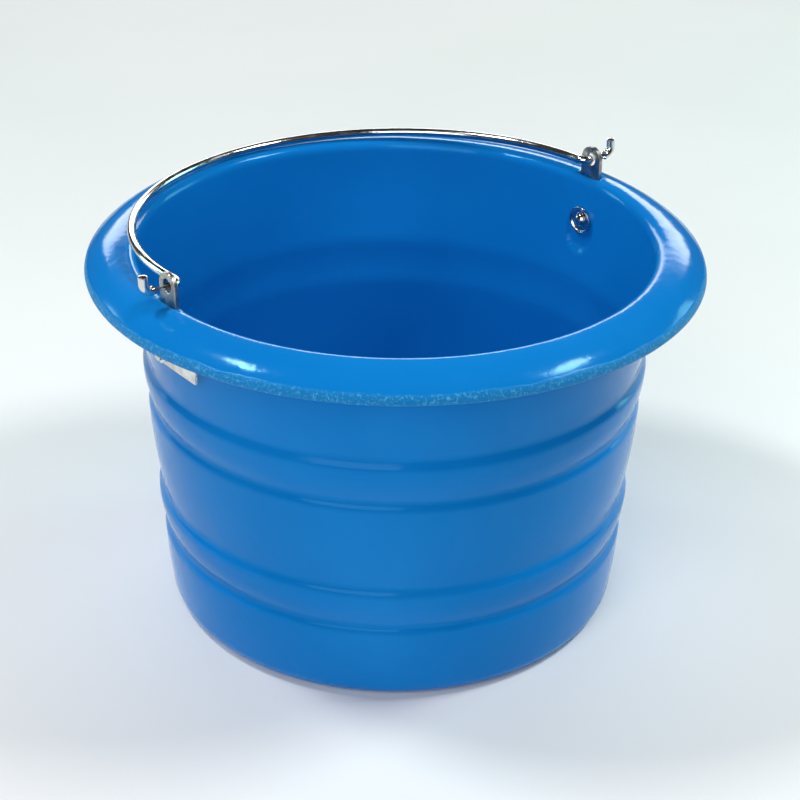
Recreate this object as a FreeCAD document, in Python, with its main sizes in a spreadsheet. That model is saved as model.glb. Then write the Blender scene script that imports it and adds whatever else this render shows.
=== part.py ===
import FreeCAD, Part
import Sketcher
import math
import os

# Round moulded feed bucket with a wire bail. Z is up, the bucket stands on z = 0,
# and X is the line through the two bail eyes. The bail lies back over +Y at rest.

SIZES = {
    # tub: floor, wall and grooves (radii and heights of the outer face)
    "base_radius": 145.0,
    "corner_radius": 12.0,
    "wall_thickness": 5.0,
    "groove_ledge": 3.2,
    "groove_drop": 4.0,
    "first_groove_radius": 157.5,
    "first_groove_height": 58.1,
    "second_groove_radius": 160.3,
    "second_groove_height": 88.2,
    "third_groove_radius": 164.5,
    "third_groove_height": 154.7,
    "fourth_groove_radius": 167.0,
    "fourth_groove_height": 185.5,
    "short_band_curve": 60.0,
    "long_band_curve": 420.0,
    "inner_short_curve": 90.0,
    "inner_long_curve": 420.0,
    # rim: a broad dome, open underneath
    "neck_radius": 173.5,
    "neck_fillet": 6.0,
    "rim_radius": 205.0,
    "rim_crest_radius": 177.5,
    "rim_crest_height": 261.5,
    "rim_inner_round": 7.0,
    "rim_shoulder_inset": 3.5,
    "rim_shoulder_drop": 9.0,
    "rim_edge_curve": 7.5,
    "rim_edge_drop": 15.0,
    "rim_edge_round": 2.5,
    "rim_skin": 6.0,
    "rim_dome_curve": 37.0,
    "rim_under_curve": 36.0,
    # bail eyes (rises and drops are measured from the rim crest)
    "eye_rise": 12.5,
    "eye_hole_radius": 4.5,
    "strap_half_width": 9.0,
    "strap_thickness": 3.0,
    "strap_foot_drop": 40.5,
    "seat_radius": 174.3,
    "slot_clearance": 0.4,
    # fixing bolt and what it clamps
    "bolt_drop": 32.5,
    "bolt_radius": 3.0,
    "bolt_clearance": 0.3,
    "bolt_end": 186.5,
    "bolt_head_radius": 5.6,
    "bolt_head_height": 3.6,
    "bolt_head_curve": 5.6,
    "bolt_head_flat": 1.0,
    "washer_radius": 10.0,
    "washer_thickness": 1.5,
    "washer_lip": 1.2,
    "plate_thickness": 2.0,
    "plate_width": 36.0,
    "plate_start": 5.0,
    "plate_foot_drop": 42.0,
    "plate_height": 21.0,
    "nut_radius": 5.7,
    "nut_thickness": 5.0,
    # flat seats moulded into the wall round each bolt
    "recess_radius": 169.3,
    "recess_half_width": 12.0,
    "recess_foot_drop": 43.5,
    "recess_length": 20.0,
    "recess_reach": 12.0,
    "seat_half_width": 12.0,
    "seat_foot_drop": 47.5,
    "seat_length": 28.0,
    # bail
    "wire_radius": 3.0,
    "bail_half_span": 168.0,
    "bail_bend": 6.0,
    "bail_arm": 4.0,
    "bail_foot_radius": 193.5,
    "bail_foot_length": 11.5,
    "rest_clearance": 0.3,
}

doc = FreeCAD.newDocument("feed_bucket")
sheet = doc.addObject("Spreadsheet::Sheet", "Dims")
for row, (alias, size) in enumerate(SIZES.items(), start=1):
    sheet.set("A%d" % row, alias)
    sheet.set("B%d" % row, str(size))
    sheet.setAlias("B%d" % row, alias)
doc.recompute()


def amount(terms):
    """Value of a sum such as 'rim_radius - rim_edge_round' (a plain 0 is allowed)."""
    total = 0.0
    sign = 1.0
    for word in terms.split():
        if word in ("+", "-"):
            sign = 1.0 if word == "+" else -1.0
        elif word != "0":
            total += sign * float(sheet.get(word))
    return total


def formula(terms):
    """The same sum as a sheet expression."""
    words = []
    for word in terms.split():
        words.append(word if word in ("+", "-", "0") else "Dims." + word)
    return " ".join(words)


HALF_ROUND = "half round"
LEFT, RIGHT = 1, -1


def origin_plane(body, role):
    for feature in body.Origin.OriginFeatures:
        if feature.Role == role:
            return feature
    raise ValueError(role)


def bind(sketch, index, terms):
    sketch.setExpression("Constraints[%d]" % index, formula(terms))


def pin(sketch, geometry, point, across, up):
    """Hold one point of the sketch at two sums measured from the origin."""
    for kind, terms in (("DistanceX", across), ("DistanceY", up)):
        value = amount(terms)
        if terms == "0":
            axis = -2 if kind == "DistanceX" else -1
            sketch.addConstraint(Sketcher.Constraint("PointOnObject", geometry, point, axis))
            continue
        index = sketch.addConstraint(Sketcher.Constraint(kind, -1, 1, geometry, point, value))
        bind(sketch, index, terms)


def arc_between(start, end, radius, side):
    """Arc of the given radius from start to end, bulging to the left (1) or right (-1)."""
    chord = end - start
    half = chord.Length / 2.0
    rise = math.sqrt(max(radius * radius - half * half, 0.0))
    left = FreeCAD.Vector(-chord.y, chord.x, 0).normalize()
    centre = (start + end) * 0.5 - left * (side * rise)
    middle = centre + left * (side * radius)
    return Part.Arc(start, middle, end)


def outline(sketch, stops):
    """Closed outline. Each stop is (across, up, link); link says how the next stop is
    reached: None for a line, (radius, side) for an arc bulging to that side of the way
    round, or (HALF_ROUND, side) for half a circle between two level stops."""
    count = len(stops)
    points = [FreeCAD.Vector(amount(a), amount(u), 0) for a, u, _ in stops]
    for i, (_, _, link) in enumerate(stops):
        start, end = points[i], points[(i + 1) % count]
        if link is None:
            sketch.addGeometry(Part.LineSegment(start, end), False)
        else:
            half_round = link[0] == HALF_ROUND
            radius = (end - start).Length / 2.0 if half_round else amount(link[0])
            sketch.addGeometry(arc_between(start, end, radius, link[1]), False)
    ends = []
    for i in range(count):
        forward = (sketch.getPoint(i, 1) - points[i]).Length < 1e-6
        ends.append((1, 2) if forward else (2, 1))
    for i in range(count):
        j = (i + 1) % count
        sketch.addConstraint(Sketcher.Constraint("Coincident", i, ends[i][1], j, ends[j][0]))
    for i, (across, up, link) in enumerate(stops):
        pin(sketch, i, ends[i][0], across, up)
        if link is None:
            continue
        if link[0] == HALF_ROUND:
            index = sketch.addConstraint(
                Sketcher.Constraint("DistanceY", -1, 1, i, 3, amount(up)))
            bind(sketch, index, up)
            continue
        index = sketch.addConstraint(Sketcher.Constraint("Radius", i, amount(link[0])))
        bind(sketch, index, link[0])


def sketch_in(body, name, role):
    sketch = body.newObject("Sketcher::SketchObject", name)
    sketch.AttachmentSupport = [(origin_plane(body, role), "")]
    sketch.MapMode = "FlatFace"
    return sketch


def turned(label, stops):
    """Body turned about Z from an outline in the XZ plane."""
    body = doc.addObject("PartDesign::Body", label)
    sketch = sketch_in(body, label + "_outline", "XZ_Plane")
    outline(sketch, stops)
    doc.recompute()
    feature = body.newObject("PartDesign::Revolution", label + "_turned")
    feature.Profile = sketch
    feature.ReferenceAxis = (sketch, ["V_Axis"])
    feature.Angle = 360
    body.Tip = feature
    doc.recompute()
    return body


def padded(label, role, stops, holes, thickness):
    """Body padded from an outline with round holes at (across, up, radius)."""
    body = doc.addObject("PartDesign::Body", label)
    sketch = sketch_in(body, label + "_outline", role)
    outline(sketch, stops)
    for across, up, radius in holes:
        centre = FreeCAD.Vector(amount(across), amount(up), 0)
        circle = Part.Circle(centre, FreeCAD.Vector(0, 0, 1), amount(radius))
        number = sketch.addGeometry(circle, False)
        pin(sketch, number, 3, across, up)
        index = sketch.addConstraint(Sketcher.Constraint("Radius", number, amount(radius)))
        bind(sketch, index, radius)
    doc.recompute()
    feature = body.newObject("PartDesign::Pad", label + "_pad")
    feature.Profile = sketch
    feature.Length = amount(thickness)
    feature.setExpression("Length", formula(thickness))
    body.Tip = feature
    doc.recompute()
    return body


def box(name, start, size):
    """Box from sums for its low corner and for its three lengths."""
    shape = doc.addObject("Part::Box", name)
    for side, terms in zip(("Length", "Width", "Height"), size):
        shape.setExpression(side, formula(terms))
    for axis, terms in zip("xyz", start):
        shape.setExpression("Placement.Base." + axis, formula(terms))
    return shape


def rod_along_x(name, start, radius, length):
    """Cylinder lying along X from sums for its low end, radius and length."""
    shape = doc.addObject("Part::Cylinder", name)
    shape.setExpression("Radius", formula(radius))
    shape.setExpression("Height", formula(length))
    along_x = FreeCAD.Rotation(FreeCAD.Vector(0, 1, 0), 90)
    shape.Placement = FreeCAD.Placement(FreeCAD.Vector(0, 0, 0), along_x)
    for axis, terms in zip("xyz", start):
        shape.setExpression("Placement.Base." + axis, formula(terms))
    return shape


# ---------------------------------------------------------------- the tub
GROOVES = ("first", "second", "third", "fourth")
BAND_CURVES = ("short_band_curve", "long_band_curve", "short_band_curve", "long_band_curve")
INNER_CURVES = ("inner_short_curve", "inner_long_curve", "inner_short_curve")

tub_stops = [
    ("0", "0", None),
    ("base_radius", "0", ("corner_radius", RIGHT)),
    ("base_radius + corner_radius", "corner_radius", ("long_band_curve", RIGHT)),
]
for groove, curve in zip(GROOVES, BAND_CURVES):
    radius = groove + "_groove_radius"
    height = groove + "_groove_height"
    tub_stops.append((radius + " + groove_ledge", height + " - groove_drop", None))
    tub_stops.append((radius, height, (curve, RIGHT)))
tub_stops += [
    ("neck_radius", "rim_crest_height - rim_skin - neck_fillet", ("neck_fillet", LEFT)),
    ("neck_radius + neck_fillet", "rim_crest_height - rim_skin", ("rim_under_curve", LEFT)),
    ("rim_radius - rim_edge_round - rim_edge_round", "rim_crest_height - rim_edge_drop",
     (HALF_ROUND, RIGHT)),
    ("rim_radius", "rim_crest_height - rim_edge_drop", ("rim_edge_curve", RIGHT)),
    ("rim_radius - rim_shoulder_inset", "rim_crest_height - rim_shoulder_drop",
     ("rim_dome_curve", RIGHT)),
    ("rim_crest_radius", "rim_crest_height", ("rim_inner_round", RIGHT)),
    ("rim_crest_radius - rim_inner_round", "rim_crest_height - rim_inner_round",
     ("inner_long_curve", LEFT)),
]
for groove, curve in zip(reversed(GROOVES[1:]), INNER_CURVES):
    tub_stops.append((groove + "_groove_radius - wall_thickness", groove + "_groove_height",
                      (curve, LEFT)))
tub_stops += [
    ("first_groove_radius - wall_thickness", "first_groove_height", ("inner_long_curve", LEFT)),
    ("base_radius + corner_radius - wall_thickness", "corner_radius + wall_thickness",
     ("corner_radius", LEFT)),
    ("base_radius - wall_thickness", "wall_thickness", None),
    ("0", "wall_thickness", None),
]
turned_tub = turned("turned_tub", tub_stops)

SIDES = ("right", "left")
seats = []
wall_cuts = []
for side in SIDES:
    low = "recess_radius" if side == "right" else "0 - seat_radius"
    seats.append(box(side + "_seat",
                     (low, "0 - seat_half_width", "rim_crest_height - seat_foot_drop"),
                     ("seat_radius - recess_radius", "seat_half_width + seat_half_width",
                      "seat_length")))
    low = "recess_radius - recess_reach" if side == "right" else "0 - recess_radius"
    wall_cuts.append(box(side + "_recess",
                         (low, "0 - recess_half_width", "rim_crest_height - recess_foot_drop"),
                         ("recess_reach", "recess_half_width + recess_half_width",
                          "recess_length")))
    recess_foot = "rim_crest_height - recess_foot_drop"
    for end, height in (("foot", recess_foot), ("head", recess_foot + " + recess_length")):
        wall_cuts.append(rod_along_x(side + "_recess_" + end, (low, "0", height),
                                     "recess_half_width", "recess_reach"))
    low = ("recess_radius - recess_reach" if side == "right"
           else "0 - recess_radius - recess_reach")
    wall_cuts.append(rod_along_x(side + "_bolt_hole", (low, "0", "rim_crest_height - bolt_drop"),
                                 "bolt_radius + bolt_clearance",
                                 "recess_reach + recess_reach"))
    low = ("seat_radius" if side == "right"
           else "0 - seat_radius - strap_thickness - slot_clearance")
    wall_cuts.append(box(side + "_slot",
                         (low, "0 - strap_half_width - slot_clearance",
                          "rim_crest_height - seat_foot_drop + seat_length"),
                         ("strap_thickness + slot_clearance",
                          "strap_half_width + strap_half_width + slot_clearance"
                          " + slot_clearance",
                          "seat_foot_drop - seat_length + rim_skin")))
seated_tub = doc.addObject("Part::MultiFuse", "seated_tub")
seated_tub.Shapes = [turned_tub] + seats
all_cuts = doc.addObject("Part::MultiFuse", "wall_cuts")
all_cuts.Shapes = wall_cuts
bucket_shell = doc.addObject("Part::Cut", "bucket_shell")
bucket_shell.Base = seated_tub
bucket_shell.Tool = all_cuts
doc.recompute()

nodes = [bucket_shell]


# ---------------------------------------------------------------- eyes and their bolts
def stand(body, side, distance, turn=None):
    """Put a piece at a distance out along X on its side; left is right turned half round."""
    half = FreeCAD.Rotation(FreeCAD.Vector(0, 0, 1), 180 if side == "left" else 0)
    spin = half if turn is None else half * turn
    body.Placement = FreeCAD.Placement(FreeCAD.Vector(0, 0, 0), spin)
    terms = distance if side == "right" else "0 - " + distance.replace("+", "-")
    body.setExpression("Placement.Base.x", formula(terms))


HEAD_INWARD = FreeCAD.Rotation(FreeCAD.Vector(0, 1, 0), -90)
AXIS_ALONG_X = FreeCAD.Rotation(FreeCAD.Vector(0, 1, 0), 90)

for side in SIDES:
    strap = padded(side + "_eye_strap", "YZ_Plane", [
        ("0 - strap_half_width", "rim_crest_height - strap_foot_drop", None),
        ("strap_half_width", "rim_crest_height - strap_foot_drop", None),
        ("strap_half_width", "rim_crest_height + eye_rise", (HALF_ROUND, RIGHT)),
        ("0 - strap_half_width", "rim_crest_height + eye_rise", None),
    ], [
        ("0", "rim_crest_height + eye_rise", "eye_hole_radius"),
        ("0", "rim_crest_height - bolt_drop", "bolt_radius + bolt_clearance"),
    ], "strap_thickness")
    stand(strap, side, "seat_radius")

    plate = padded(side + "_backing_plate", "YZ_Plane", [
        ("0 - plate_start", "rim_crest_height - plate_foot_drop", None),
        ("plate_width - plate_start", "rim_crest_height - plate_foot_drop", None),
        ("plate_width - plate_start", "rim_crest_height - plate_foot_drop + plate_height", None),
        ("0 - plate_start", "rim_crest_height - plate_foot_drop + plate_height", None),
    ], [
        ("0", "rim_crest_height - bolt_drop", "bolt_radius + bolt_clearance"),
    ], "plate_thickness")
    stand(plate, side, "seat_radius + strap_thickness")

    washer = turned(side + "_cup_washer", [
        ("bolt_radius + bolt_clearance", "0", None),
        ("washer_radius", "0", None),
        ("washer_radius", "washer_thickness + washer_lip", None),
        ("washer_radius - washer_lip", "washer_thickness + washer_lip", None),
        ("washer_radius - washer_lip - washer_lip", "washer_thickness", None),
        ("bolt_radius + bolt_clearance", "washer_thickness", None),
    ])
    stand(washer, side, "recess_radius", HEAD_INWARD)
    washer.setExpression("Placement.Base.z", formula("rim_crest_height - bolt_drop"))

    bolt = turned(side + "_bolt", [
        ("0", "recess_radius - washer_thickness - bolt_end", None),
        ("bolt_radius", "recess_radius - washer_thickness - bolt_end", None),
        ("bolt_radius", "0", None),
        ("bolt_head_radius", "0", ("bolt_head_curve", RIGHT)),
        ("bolt_head_flat", "bolt_head_height", None),
        ("0", "bolt_head_height", None),
    ])
    stand(bolt, side, "recess_radius", HEAD_INWARD)
    head_face = "recess_radius - washer_thickness"
    if side == "left":
        head_face = "0 - recess_radius + washer_thickness"
    bolt.setExpression("Placement.Base.x", formula(head_face))
    bolt.setExpression("Placement.Base.z", formula("rim_crest_height - bolt_drop"))

    hexagon = doc.addObject("Part::Prism", side + "_nut_hexagon")
    hexagon.Polygon = 6
    hexagon.setExpression("Circumradius", formula("nut_radius"))
    hexagon.setExpression("Height", formula("nut_thickness"))
    thread = doc.addObject("Part::Cylinder", side + "_nut_thread")
    thread.setExpression("Radius", formula("bolt_radius"))
    thread.setExpression("Height", formula("nut_thickness"))
    nut = doc.addObject("Part::Cut", side + "_nut")
    nut.Base = hexagon
    nut.Tool = thread
    stand(nut, side, "seat_radius + strap_thickness + plate_thickness", AXIS_ALONG_X)
    nut.setExpression("Placement.Base.z", formula("rim_crest_height - bolt_drop"))
    doc.recompute()
    nodes += [strap, plate, washer, bolt, nut]


# ---------------------------------------------------------------- the bail
def bail_path(half_span, bend, arm, foot_radius, foot_length):
    """Centre line of the wire, with the eye line as X and the bow towards +Y."""
    vec = FreeCAD.Vector
    cut = bend * (1 - math.sqrt(0.5))
    right = [
        Part.makeLine(vec(foot_radius, 0, foot_length), vec(foot_radius, 0, bend)),
        Part.Arc(vec(foot_radius, 0, bend), vec(foot_radius - cut, 0, cut),
                 vec(foot_radius - bend, 0, 0)).toShape(),
        Part.makeLine(vec(foot_radius - bend, 0, 0), vec(half_span + bend, 0, 0)),
        Part.Arc(vec(half_span + bend, 0, 0), vec(half_span + cut, cut, 0),
                 vec(half_span, bend, 0)).toShape(),
        Part.makeLine(vec(half_span, bend, 0), vec(half_span, bend + arm, 0)),
    ]
    bow = Part.Arc(vec(half_span, bend + arm, 0), vec(0, bend + arm + half_span, 0),
                   vec(-half_span, bend + arm, 0)).toShape()
    left = [edge.mirror(vec(0, 0, 0), vec(1, 0, 0)) for edge in right]
    return Part.Wire(Part.__sortEdges__(right + [bow] + left))


half_span = amount("bail_half_span")
bend = amount("bail_bend")
arm = amount("bail_arm")
foot_radius = amount("bail_foot_radius")
foot_length = amount("bail_foot_length")
ring_edge = Part.makeCircle(amount("wire_radius"),
                            FreeCAD.Vector(foot_radius, 0, foot_length),
                            FreeCAD.Vector(0, 0, 1))
ring = Part.Wire([ring_edge])
bail = doc.addObject("Part::Feature", "bail_handle")
path = bail_path(half_span, bend, arm, foot_radius, foot_length)
bail.Shape = path.makePipeShell([ring], True, True)
fall = amount("eye_rise - wire_radius - rest_clearance")
rest_angle = math.degrees(math.asin(fall / (half_span + bend + arm)))
bail.Placement = FreeCAD.Placement(
    FreeCAD.Vector(0, 0, amount("rim_crest_height + eye_rise")),
    FreeCAD.Rotation(FreeCAD.Vector(1, 0, 0), -rest_angle))
nodes.append(bail)
doc.recompute()

# ---------------------------------------------------------------- check and write
for item in doc.Objects:
    if "Invalid" in item.State or "Error" in item.State:
        raise RuntimeError("broken object " + item.Label)
os.makedirs("parts", exist_ok=True)
for node in nodes:
    shape = node.Shape
    if not shape.isValid() or len(shape.Solids) != 1:
        raise RuntimeError("bad shape " + node.Label)
    shape.exportStep("parts/%s.step" % node.Label)
    bounds = shape.optimalBoundingBox()
    print("%-20s volume %10.1f  x %7.1f %7.1f  y %7.1f %7.1f  z %6.1f %6.1f" % (
        node.Label, shape.Volume, bounds.XMin, bounds.XMax, bounds.YMin, bounds.YMax,
        bounds.ZMin, bounds.ZMax))
print("bail rests %.3f degrees below level" % rest_angle)
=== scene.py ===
import bmesh
import bpy
import numpy as np
from mathutils import Matrix


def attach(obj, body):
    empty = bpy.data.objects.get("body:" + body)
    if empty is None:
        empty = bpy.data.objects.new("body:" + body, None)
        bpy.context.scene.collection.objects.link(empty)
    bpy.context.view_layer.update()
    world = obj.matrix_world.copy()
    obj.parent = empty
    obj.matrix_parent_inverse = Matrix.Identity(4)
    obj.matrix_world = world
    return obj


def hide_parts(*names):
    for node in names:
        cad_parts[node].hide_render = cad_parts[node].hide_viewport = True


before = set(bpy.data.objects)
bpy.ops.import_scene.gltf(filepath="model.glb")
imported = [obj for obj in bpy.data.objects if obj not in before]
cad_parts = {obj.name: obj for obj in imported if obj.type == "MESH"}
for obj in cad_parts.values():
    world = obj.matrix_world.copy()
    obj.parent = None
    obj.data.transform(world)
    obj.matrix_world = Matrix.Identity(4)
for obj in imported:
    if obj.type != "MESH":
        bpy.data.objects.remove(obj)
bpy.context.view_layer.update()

MM = 0.001

# Sizes of the tub in millimetres, the same as the solid part's
TUB = {
    "base": 145.0, "corner": 12.0, "wall": 5.0, "ledge": 3.2, "drop": 4.0,
    "grooves": ((157.5, 58.1), (160.3, 88.2), (164.5, 154.7), (167.0, 185.5)),
    "neck": 173.5, "neck_fillet": 6.0, "rim": 205.0, "crest": 177.5, "top": 261.5,
    "inner_round": 7.0, "shoulder_in": 3.5, "shoulder_down": 9.0, "edge_curve": 7.5,
    "edge_down": 15.0, "edge_round": 2.5, "skin": 6.0,
    "bands": (420.0, 60.0, 420.0, 60.0), "inner_bands": (420.0, 90.0, 420.0, 90.0),
    "long_band": 420.0, "under_curve": 36.0, "dome_curve": 37.0,
}
STRAP_FACE, STRAP_THICK, STRAP_HALF, EYE_HEIGHT = 174.3, 3.0, 9.0, 274.0
RECESS_FACE, RECESS_HALF, RECESS_LOW, RECESS_HIGH = 169.3, 12.0, 218.0, 238.0
WIRE_AROUND = 32
WIRE, BAIL_SPAN, BAIL_BEND, BAIL_ARM, BAIL_FOOT, BAIL_TIP = 3.0, 168.0, 6.0, 4.0, 193.5, 11.5
BAIL_REST_GAP = 0.3
BAIL_FALL = np.arcsin((EYE_HEIGHT - TUB["top"] - WIRE - BAIL_REST_GAP)
                      / (BAIL_SPAN + BAIL_BEND + BAIL_ARM))


# ------------------------------------------------------------------ shapes
def smooth_step(low, high, value):
    """0 below low, 1 above high, and a smooth cubic between."""
    t = np.clip((value - low) / (high - low), 0.0, 1.0)
    return t * t * (3.0 - 2.0 * t)


def mesh_from(name, points, faces, body, nodes, sharp=40.0):
    """A piece from an array of points in millimetres and a list of faces."""
    mesh = bpy.data.meshes.new(name)
    mesh.from_pydata((points * MM).tolist(), [], faces)
    mesh.update()
    piece = bpy.data.objects.new(name, mesh)
    bpy.context.scene.collection.objects.link(piece)
    mesh.shade_smooth()
    if sharp:
        mesh.set_sharp_from_angle(angle=np.radians(sharp))
    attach(piece, body)
    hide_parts(*nodes)
    return piece


def ring_faces(rows, columns):
    """Four-sided faces of a grid of rows by columns whose columns close on themselves."""
    row, column = np.meshgrid(np.arange(rows - 1), np.arange(columns), indexing="ij")
    after = (column + 1) % columns
    quads = np.stack([row * columns + column, row * columns + after,
                      (row + 1) * columns + after, (row + 1) * columns + column], -1)
    return quads.reshape(-1, 4).tolist()


def arc(start, end, radius, bulge, spacing=0.25):
    """Points on the arc of a radius from start to end. The centre is the middle of the
    chord, moved square to it; bulge is 1 to the left of travel and -1 to the right."""
    start, end = np.array(start, float), np.array(end, float)
    chord = end - start
    half = np.linalg.norm(chord) / 2.0
    left = np.array([-chord[1], chord[0]]) / (2.0 * half)
    centre = (start + end) / 2.0 - left * bulge * np.sqrt(max(radius ** 2 - half ** 2, 0.0))
    a0 = np.arctan2(*(start - centre)[::-1])
    a1 = np.arctan2(*(end - centre)[::-1])
    turn = (a1 - a0 + np.pi) % (2.0 * np.pi) - np.pi
    if abs(abs(turn) - np.pi) < 1e-6:
        turn = -bulge * np.pi
    count = max(4, int(abs(turn) * radius / spacing))
    angle = a0 + turn * np.linspace(0.0, 1.0, count)
    return centre + radius * np.stack([np.cos(angle), np.sin(angle)], -1)


def line(start, end, spacing=0.25):
    """Evenly spaced points on a straight line."""
    start, end = np.array(start, float), np.array(end, float)
    count = max(3, int(np.linalg.norm(end - start) / spacing))
    return start + (end - start) * np.linspace(0.0, 1.0, count)[:, None]


EASE_REACH, EASE_WIDTH = 12, 4.5   # running mean along the tub's outline, in its points


def tub_profile():
    """Closed half section of the tub as (radius, height): underside, banded outer wall,
    open underside of the rim, dome, inner wall and floor, with moulded corners eased by
    a running mean along the line and its points thinned where it is plain."""
    t = TUB
    grooves = t["grooves"]
    runs = [line((0, 0), (t["base"], 0)),
            arc((t["base"], 0), (t["base"] + t["corner"], t["corner"]), t["corner"], -1)]
    here = (t["base"] + t["corner"], t["corner"])
    for (radius, height), curve in zip(grooves, t["bands"]):
        ledge = (radius + t["ledge"], height - t["drop"])
        runs += [arc(here, ledge, curve, -1), line(ledge, (radius, height))]
        here = (radius, height)
    neck = (t["neck"], t["top"] - t["skin"] - t["neck_fillet"])
    root = (t["neck"] + t["neck_fillet"], t["top"] - t["skin"])
    inner_edge = (t["rim"] - 2.0 * t["edge_round"], t["top"] - t["edge_down"])
    outer_edge = (t["rim"], t["top"] - t["edge_down"])
    shoulder = (t["rim"] - t["shoulder_in"], t["top"] - t["shoulder_down"])
    crest = (t["crest"], t["top"])
    lip = (t["crest"] - t["inner_round"], t["top"] - t["inner_round"])
    runs += [arc(here, neck, t["long_band"], -1), arc(neck, root, t["neck_fillet"], 1),
             arc(root, inner_edge, t["under_curve"], 1),
             arc(inner_edge, outer_edge, t["edge_round"], -1),
             arc(outer_edge, shoulder, t["edge_curve"], -1),
             arc(shoulder, crest, t["dome_curve"], -1), arc(crest, lip, t["inner_round"], -1)]
    here = lip
    inner = [(radius - t["wall"], height) for radius, height in grooves]
    for stop, curve in zip(reversed(inner), t["inner_bands"]):
        runs.append(arc(here, stop, curve, 1))
        here = stop
    foot = (t["base"] + t["corner"] - t["wall"], t["corner"] + t["wall"])
    runs += [arc(here, foot, t["long_band"], 1),
             arc(foot, (t["base"] - t["wall"], t["wall"]), t["corner"], 1),
             line((t["base"] - t["wall"], t["wall"]), (0, t["wall"]))]
    points = np.concatenate([runs[0]] + [run[1:] for run in runs[1:]])
    kernel = np.exp(-0.5 * (np.arange(-EASE_REACH, EASE_REACH + 1) / EASE_WIDTH) ** 2)
    kernel /= kernel.sum()
    eased = points.copy()
    for axis in (0, 1):
        eased[EASE_REACH:-EASE_REACH, axis] = np.convolve(points[:, axis], kernel, mode="valid")
    step = np.linalg.norm(np.diff(eased, axis=0), axis=1)
    radius, height = eased[:-1].T
    spacing = np.where(height > 241.0, 1.1, 2.6)
    spacing = np.where((height < 7.0) & (radius < 140.0), 18.0, spacing)
    inside = np.arange(len(step)) > np.argmax(eased[:, 1])
    spacing = np.where(inside & (height > 7.0) & (height < 195.0), 4.5, spacing)
    travel = np.concatenate([[0.0], np.cumsum(step / spacing)])
    wanted = np.linspace(0.0, travel[-1], int(travel[-1]) + 1)
    return np.stack([np.interp(wanted, travel, eased[:, k]) for k in (0, 1)], -1)


def make_tub():
    """Half section turned about Z: point = (r cos a, r sin a, z). The turn's angles are
    closer near the two eyes. There the inner wall is pushed out to a flat seat, and the
    dome swells round each strap by a bead that dies away with distance from the strap."""
    profile = tub_profile()
    ring = profile[1:-1]
    quarter = np.concatenate([np.linspace(0.0, 5.0, 14, endpoint=False),
                              np.linspace(5.0, 90.0, 72, endpoint=False)])
    angles = np.radians(np.concatenate([quarter, 180.0 - quarter[::-1],
                                        180.0 + quarter[1:], 360.0 - quarter[:0:-1]]))
    angles = np.unique(np.round(np.append(angles, [np.pi / 2, 3 * np.pi / 2]), 9))
    radius, angle = np.meshgrid(ring[:, 0], angles, indexing="ij")
    height = np.repeat(ring[:, 1][:, None], len(angles), axis=1)
    order = np.arange(len(ring))[:, None]
    inside = order > np.argmax(ring[:, 1])
    across = np.abs(radius * np.sin(angle))
    along = np.abs(radius * np.cos(angle))
    over = np.clip(np.maximum(RECESS_LOW - height, height - RECESS_HIGH), 0.0, None)
    reach = np.hypot(across, over)
    seat = inside * smooth_step(RECESS_HALF + 1.3, RECESS_HALF - 0.9, reach)
    flat = RECESS_FACE / np.maximum(np.abs(np.cos(angle)), 0.5)
    radius = np.where(height > 190.0, radius + seat * np.maximum(flat - radius, 0.0), radius)
    off_x = np.maximum(np.abs(along - STRAP_FACE - STRAP_THICK / 2.0) - STRAP_THICK / 2.0, 0)
    off_y = np.maximum(across - STRAP_HALF, 0.0)
    off = np.hypot(off_x, off_y)
    on_top = (height > 256.0) & ~(order < np.argmax(ring[:, 0]))
    bead = 0.75 * np.exp(-((off - 1.3) / 1.0) ** 2) - 0.9 * np.exp(-(off / 0.7) ** 2)
    height = height + on_top * bead
    points = np.stack([radius * np.cos(angle), radius * np.sin(angle), height], -1)
    points = points.reshape(-1, 3)
    count = len(points)
    points = np.vstack([points, [[0, 0, 0], [0, 0, TUB["wall"]]]])
    columns = len(angles)
    faces = ring_faces(len(ring), columns)
    last = (len(ring) - 1) * columns
    column = np.arange(columns)
    after = (column + 1) % columns
    under = np.stack([np.full(columns, count), after, column], -1)
    floor = np.stack([np.full(columns, count + 1), last + column, last + after], -1)
    faces += np.stack([under, floor], 1).reshape(-1, 3).tolist()
    return mesh_from("tub_moulding", points, faces, "bucket",
                     ["bucket_shell"], sharp=0)


def bend(centre, from_angle, to_angle, first, second, radius=BAIL_BEND, count=14):
    """Points on a bend: centre + radius (cos a first + sin a second)."""
    angle = np.linspace(from_angle, to_angle, count)[:, None]
    return np.array(centre) + radius * (np.cos(angle) * np.array(first)
                                        + np.sin(angle) * np.array(second))


def bail_line():
    """Centre line of the wire in the bail's own plane, X along the eyes, Y to the grip:
    tip, bend, straight through the eye, bend, half circle, then the same mirrored."""
    x, y, z = np.eye(3)
    half = np.pi / 2.0
    tip = np.linspace((BAIL_FOOT, 0, BAIL_TIP), (BAIL_FOOT, 0, BAIL_BEND), 8)
    outer = bend((BAIL_FOOT - BAIL_BEND, 0, BAIL_BEND), 0.0, -half, x, z)
    inner = bend((BAIL_SPAN + BAIL_BEND, BAIL_BEND, 0), -half, -2.0 * half, x, y)
    angle = np.linspace(0.0, half, 90)[:, None]
    middle = np.array([0, BAIL_BEND + BAIL_ARM, 0])
    bow = middle + BAIL_SPAN * (np.cos(angle) * x + np.sin(angle) * y)
    side = np.concatenate([tip, outer[1:], inner, bow])
    return np.concatenate([side, side[-2::-1] * [-1, 1, 1]])


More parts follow.
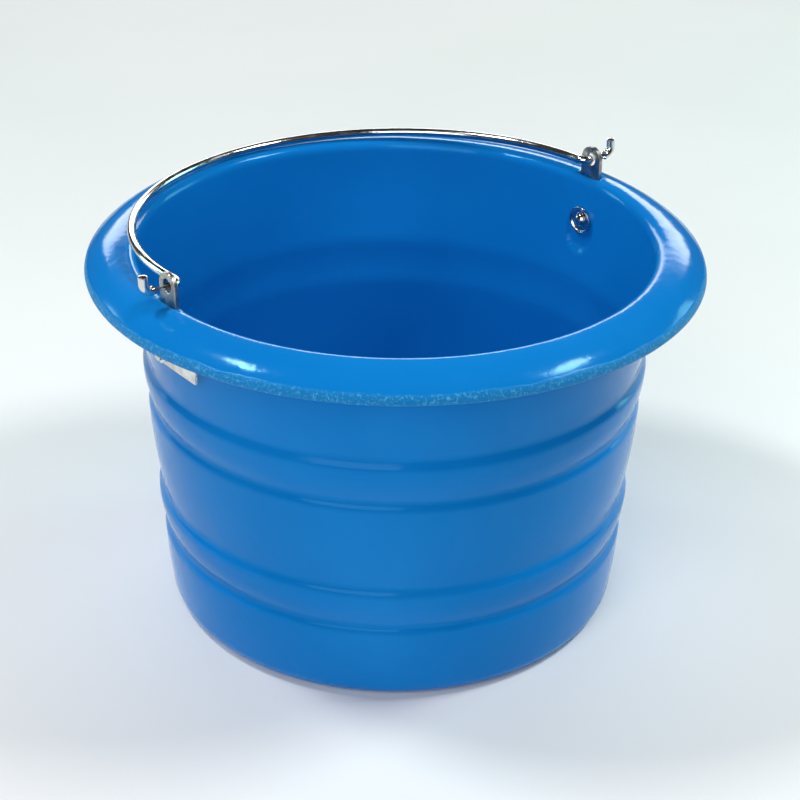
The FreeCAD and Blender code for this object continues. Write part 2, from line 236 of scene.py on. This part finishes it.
def carried_frame(run):
    """Two directions square to the line: its cross product with a steady direction, Y in
    the foot's plane and Z past the eye, and the cross product of the line with that."""
    x = np.abs(run[:, 0])
    in_foot = np.abs(run[:, 2]) > 1e-9
    steady = np.where(in_foot[:, None], [0.0, 1.0, 0.0], [0.0, 0.0, 1.0])
    first = np.cross(run, steady)
    first /= np.linalg.norm(first, axis=1)[:, None]
    turned = (in_foot & (x >= 0.0))[:, None]
    second = np.cross(run, first)
    return np.where(turned, second, first), np.where(turned, -first, second)


def make_bail():
    """Round wire: a circle carried along the centre line, square to it, its size easing
    to nothing over a short rounded end. The whole is let down by the resting angle."""
    path = bail_line()
    run = np.gradient(path, axis=0)
    run /= np.linalg.norm(run, axis=1)[:, None]
    travel = np.concatenate([[0], np.cumsum(np.linalg.norm(np.diff(path, axis=0), axis=1))])
    first, second = carried_frame(run)
    end = np.minimum(travel, travel[-1] - travel)
    size = WIRE * np.sqrt(np.clip(1.0 - np.clip(1.0 - end / 1.2, 0, 1) ** 2 * 0.75, 0, 1))
    around = np.linspace(0.0, 2.0 * np.pi, WIRE_AROUND, endpoint=False)
    points = (path[:, None] + size[:, None, None]
              * (np.cos(around)[None, :, None] * first[:, None]
                 + np.sin(around)[None, :, None] * second[:, None]))
    fall = Matrix.Rotation(-BAIL_FALL, 3, "X")
    points = points.reshape(-1, 3) @ np.array(fall).T + [0.0, 0.0, EYE_HEIGHT]
    faces = ring_faces(len(path), WIRE_AROUND)
    last = (len(path) - 1) * WIRE_AROUND
    faces.append(list(range(WIRE_AROUND - 1, -1, -1)))
    faces.append(list(range(last, last + WIRE_AROUND)))
    return mesh_from("bail_wire", points, faces, "bail", ["bail_handle"],
                     sharp=50.0)


def eased_copy(node, ease):
    """A CAD node's mesh merged, its flat faces joined, and its sharp edges rounded."""
    mesh = bpy.data.objects[node].data.copy()
    mesh.name = node + "_eased"
    work = bmesh.new()
    work.from_mesh(mesh)
    bmesh.ops.remove_doubles(work, verts=work.verts, dist=1e-6)
    bmesh.ops.dissolve_limit(work, angle_limit=np.radians(1.0), verts=work.verts,
                             edges=work.edges)
    work.to_mesh(mesh)
    work.free()
    mesh.materials.clear()
    piece = bpy.data.objects.new(node + "_eased", mesh)
    bpy.context.scene.collection.objects.link(piece)
    mesh.shade_smooth()
    mesh.set_sharp_from_angle(angle=np.radians(35.0))
    rounding = piece.modifiers.new("eased_edges", "BEVEL")
    rounding.width = ease * MM
    rounding.segments = 3
    rounding.limit_method = "ANGLE"
    rounding.angle_limit = np.radians(35.0)
    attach(piece, "bucket")
    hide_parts(node)
    return piece


# ------------------------------------------------------------------ materials
class Finish:
    """A node material built up in steps; every pattern reads Object coordinates. Each
    method adds one kind of node and gives back its output."""

    def __init__(self, name):
        self.material = bpy.data.materials.new(name)
        self.material.use_nodes = True
        self.nodes = self.material.node_tree.nodes
        self.links = self.material.node_tree.links
        self.shader = self.nodes["Principled BSDF"]
        self.place = self.nodes.new("ShaderNodeTexCoord").outputs["Object"]

    def link(self, source, target):
        self.links.new(source, target)

    def noise(self, scale, detail=3.0, rough=0.5, stretch=None):
        place = self.place
        if stretch:
            mapping = self.nodes.new("ShaderNodeMapping")
            mapping.inputs["Scale"].default_value = stretch
            self.link(place, mapping.inputs["Vector"])
            place = mapping.outputs["Vector"]
        node = self.nodes.new("ShaderNodeTexNoise")
        node.inputs["Scale"].default_value = scale
        node.inputs["Detail"].default_value = detail
        node.inputs["Roughness"].default_value = rough
        self.link(place, node.inputs["Vector"])
        return node.outputs["Fac"]

    def remap(self, value, low, high, to_low=0.0, to_high=1.0):
        node = self.nodes.new("ShaderNodeMapRange")
        node.interpolation_type = "SMOOTHSTEP"
        node.inputs["From Min"].default_value = low
        node.inputs["From Max"].default_value = high
        node.inputs["To Min"].default_value = to_low
        node.inputs["To Max"].default_value = to_high
        self.link(value, node.inputs["Value"])
        return node.outputs["Result"]

    def maths(self, kind, a, b=None):
        node = self.nodes.new("ShaderNodeMath")
        node.operation = kind
        for slot, value in zip(node.inputs, (a, b)):
            if value is None:
                continue
            if isinstance(value, (int, float)):
                slot.default_value = value
            else:
                self.link(value, slot)
        return node.outputs["Value"]

    def mix(self, factor, a, b):
        node = self.nodes.new("ShaderNodeMix")
        node.data_type = "RGBA"
        self.link(factor, node.inputs["Factor"])
        for slot, value in ((node.inputs["A"], a), (node.inputs["B"], b)):
            if isinstance(value, tuple):
                slot.default_value = value + (1.0,)
            else:
                self.link(value, slot)
        return node.outputs["Result"]

    def position(self):
        split = self.nodes.new("ShaderNodeSeparateXYZ")
        self.link(self.place, split.inputs["Vector"])
        return split.outputs

    def bump(self, height, distance, strength=1.0, under=None):
        node = self.nodes.new("ShaderNodeBump")
        node.inputs["Distance"].default_value = distance
        node.inputs["Strength"].default_value = strength
        self.link(height, node.inputs["Height"])
        if under is not None:
            self.link(under, node.inputs["Normal"])
        return node.outputs["Normal"]


def moulded_blue():
    """Glossy moulded polyethylene: faint mottling, orange-peel, fine scuffs, and a
    scraped, speckled band where the rim's outer edge was trimmed."""
    f = Finish("moulded_blue_plastic")
    x, y, z = f.position()
    out = f.maths("SQRT", f.maths("ADD", f.maths("MULTIPLY", x, x), f.maths("MULTIPLY", y, y)))
    low = f.remap(z, 0.2430, 0.2445)
    wander = f.maths("MULTIPLY", f.maths("SUBTRACT", f.noise(45.0), 0.5), 0.0030)
    high = f.remap(f.maths("ADD", z, wander), 0.2505, 0.2520, 1.0, 0.0)
    far = f.remap(out, 0.1990, 0.2005)
    band = f.maths("MULTIPLY", f.maths("MULTIPLY", low, high), far)
    mottle = f.remap(f.noise(7.0, 4.0), 0.3, 0.7)
    blue = f.mix(mottle, (0.0030, 0.185, 0.570), (0.0050, 0.210, 0.620))
    specks = f.remap(f.noise(520.0, 4.0, 0.7), 0.50, 0.66)
    scraped = f.mix(specks, (0.008, 0.210, 0.560), (0.080, 0.400, 0.700))
    wisps = f.remap(f.noise(60.0, 6.0, 0.7, (1.0, 1.0, 5.0)), 0.60, 0.80, 0.0, 0.22)
    worn = f.mix(wisps, blue, (0.030, 0.240, 0.560))
    f.link(f.mix(band, worn, scraped), f.shader.inputs["Base Color"])
    grain = f.noise(240.0, 3.0, 0.6)
    sheen = f.remap(f.noise(18.0, 4.0), 0.3, 0.75, 0.09, 0.18)
    dull = f.maths("ADD", sheen, f.maths("MULTIPLY", band, 0.32))
    f.link(f.maths("ADD", dull, f.maths("MULTIPLY", wisps, 0.5)), f.shader.inputs["Roughness"])
    slow = f.bump(f.noise(16.0, 2.0, 0.4), 0.0016, 0.55)
    slow = f.bump(f.noise(70.0, 3.0, 0.6), 0.0005, 0.45, slow)
    peel = f.bump(grain, 0.00012, 0.30, slow)
    rough = f.bump(f.maths("MULTIPLY", f.noise(520.0, 5.0, 0.75), band), 0.0009, 0.9, peel)
    f.link(rough, f.shader.inputs["Normal"])
    f.shader.inputs["IOR"].default_value = 1.5
    f.shader.inputs["Specular IOR Level"].default_value = 0.20
    f.shader.inputs["Specular Tint"].default_value = (0.30, 0.80, 1.0, 1.0)
    return f.material


def bright_wire():
    """Bright zinc-plated wire: drawn-wire streaks, faint clouding and small dull marks."""
    f = Finish("bright_zinc_wire")
    cloud = f.remap(f.noise(55.0, 4.0), 0.35, 0.7)
    colour = f.mix(cloud, (0.80, 0.80, 0.79), (0.62, 0.62, 0.60))
    marks = f.remap(f.noise(420.0, 4.0, 0.7), 0.62, 0.74)
    f.link(f.mix(marks, colour, (0.36, 0.33, 0.30)), f.shader.inputs["Base Color"])
    f.shader.inputs["Metallic"].default_value = 1.0
    f.link(f.remap(f.noise(90.0, 5.0), 0.3, 0.7, 0.10, 0.24), f.shader.inputs["Roughness"])
    f.link(f.bump(f.noise(300.0, 4.0), 0.0002, 0.35), f.shader.inputs["Normal"])
    return f.material


def plated_steel(name, light, dark, low, high):
    """Zinc-plated steel: clouded plating, pinprick dull marks and a slightly uneven face."""
    f = Finish(name)
    cloud = f.remap(f.noise(120.0, 5.0, 0.6), 0.32, 0.7)
    colour = f.mix(cloud, light, dark)
    marks = f.remap(f.noise(700.0, 3.0, 0.7), 0.60, 0.75)
    f.link(f.mix(marks, colour, (0.22, 0.18, 0.15)), f.shader.inputs["Base Color"])
    f.shader.inputs["Metallic"].default_value = 1.0
    f.link(f.remap(f.noise(160.0, 5.0), 0.3, 0.7, low, high), f.shader.inputs["Roughness"])
    f.link(f.bump(f.noise(500.0, 4.0), 0.0003, 0.4), f.shader.inputs["Normal"])
    return f.material


blue = moulded_blue()
wire = bright_wire()
strap_steel = plated_steel("plated_strap_steel", (0.60, 0.57, 0.53), (0.34, 0.30, 0.27), 0.24, 0.42)
bolt_steel = plated_steel("plated_bolt_steel", (0.74, 0.74, 0.72), (0.52, 0.51, 0.49), 0.12, 0.28)

tub = make_tub()
tub.data.materials.append(blue)
bail = make_bail()
bail.data.materials.append(wire)
for side in ("left", "right"):
    for part, slot, finish, ease in (("eye_strap", "plated_strap", strap_steel, 0.5),
                                     ("backing_plate", "plated_strap", bolt_steel, 0.3),
                                     ("cup_washer", "bolt_steel", bolt_steel, 0.35),
                                     ("bolt", "bolt_steel", bolt_steel, 0.3),
                                     ("nut", "bolt_steel", bolt_steel, 0.3)):
        eased_copy(side + "_" + part, ease).data.materials.append(finish)

# ------------------------------------------------------------------ stage
AZIMUTH, ELEVATION, ROLL = np.radians(-38.62), np.radians(28.72), np.radians(0.908)
AIM = np.array([0.0042, 0.0, 0.1372])
DISTANCE, LENS = 1.335, 86.88
turn_view = np.array(Matrix.Rotation(AZIMUTH, 3, "Z"))


def in_view(point):
    """A point given as right, away and up from the viewer, in the model's frame."""
    return turn_view @ np.array(point, float)


def add_camera():
    """Camera at the reference view, turned about its own axis by the roll."""
    right = np.array([1.0, 0.0, 0.0])
    up = np.array([0.0, np.sin(ELEVATION), np.cos(ELEVATION)])
    back = np.cross(right, up)
    tilted = np.cos(ROLL) * right + np.sin(ROLL) * up
    up = -np.sin(ROLL) * right + np.cos(ROLL) * up
    camera = bpy.data.objects.new("camera", bpy.data.cameras.new("camera"))
    bpy.context.scene.collection.objects.link(camera)
    matrix = np.eye(4)
    matrix[:3, 0], matrix[:3, 1], matrix[:3, 2] = (turn_view @ v for v in (tilted, up, back))
    matrix[:3, 3] = turn_view @ (AIM + DISTANCE * back)
    camera.matrix_world = Matrix(matrix.tolist())
    camera.data.lens = LENS
    camera.data.sensor_width = 36.0
    bpy.context.scene.camera = camera


def add_light(name, place, aim, size, power, colour=(1.0, 1.0, 1.0)):
    """Soft rectangular light; place and aim are right, away and up from the viewer."""
    light = bpy.data.lights.new(name, "AREA")
    light.shape = "RECTANGLE"
    light.size, light.size_y = size
    light.energy = power
    light.color = colour
    lamp = bpy.data.objects.new(name, light)
    bpy.context.scene.collection.objects.link(lamp)
    away = in_view(place) - in_view(aim)
    away /= np.linalg.norm(away)
    side = np.cross([0.0, 0.0, 1.0], away)
    side /= np.linalg.norm(side)
    matrix = np.eye(4)
    matrix[:3, 0], matrix[:3, 1], matrix[:3, 2] = side, np.cross(away, side), away
    matrix[:3, 3] = in_view(place)
    lamp.matrix_world = Matrix(matrix.tolist())


def add_floor():
    """Plain pale floor with a faint mottle."""
    mesh = bpy.data.meshes.new("floor")
    edge = 12.0
    mesh.from_pydata([(-edge, -edge, 0), (edge, -edge, 0), (edge, edge, 0), (-edge, edge, 0)],
                     [], [(0, 1, 2, 3)])
    floor = bpy.data.objects.new("floor", mesh)
    bpy.context.scene.collection.objects.link(floor)
    paper = Finish("pale_paper")
    mottle = paper.remap(paper.noise(3.0), 0.3, 0.7)
    tone = paper.mix(mottle, (0.90, 0.90, 0.90), (0.92, 0.92, 0.92))
    paper.link(tone, paper.shader.inputs["Base Color"])
    paper.shader.inputs["Roughness"].default_value = 0.9
    mesh.materials.append(paper.material)


def add_room():
    """Very dim grey room light (the background's default dark grey), a little brighter
    towards the horizon than overhead."""
    world = bpy.data.worlds.new("pale_room")
    bpy.context.scene.world = world
    world.use_nodes = True
    nodes, links = world.node_tree.nodes, world.node_tree.links
    direction = nodes.new("ShaderNodeTexCoord")
    split = nodes.new("ShaderNodeSeparateXYZ")
    links.new(direction.outputs["Generated"], split.inputs["Vector"])
    fade = nodes.new("ShaderNodeMapRange")
    fade.interpolation_type = "SMOOTHSTEP"
    fade.inputs["From Min"].default_value = 0.05
    fade.inputs["From Max"].default_value = 0.55
    fade.inputs["To Min"].default_value = 1.05
    fade.inputs["To Max"].default_value = 0.62
    links.new(split.outputs["Z"], fade.inputs["Value"])
    links.new(fade.outputs["Result"], nodes["Background"].inputs["Strength"])


add_camera()
add_floor()
add_light("front_fill", (-0.5, -1.65, 1.15), (0, 0, 0.15), (1.4, 1.4), 20.0)
add_light("left_softbox", (-0.80, 0.0, 1.6), (0, 0, 0.2), (0.34, 0.16), 11.0)
add_light("right_softbox", (0.95, 0.0, 1.5), (0, 0, 0.2), (0.42, 0.18), 12.0)
add_light("right_side", (1.7, 0.9, 0.55), (0, 0, 0.15), (0.7, 1.0), 11.0, (0.45, 1.0, 0.86))
add_light("left_side", (-1.8, 0.9, 0.6), (0, 0, 0.15), (0.4, 1.0), 8.0, (0.65, 1.0, 0.95))
add_light("back_strip", (0.0, 2.4, 1.0), (0, 0, 0.25), (2.8, 0.5), 24.0)
add_room()
bpy.context.scene.view_settings.view_transform = "Standard"
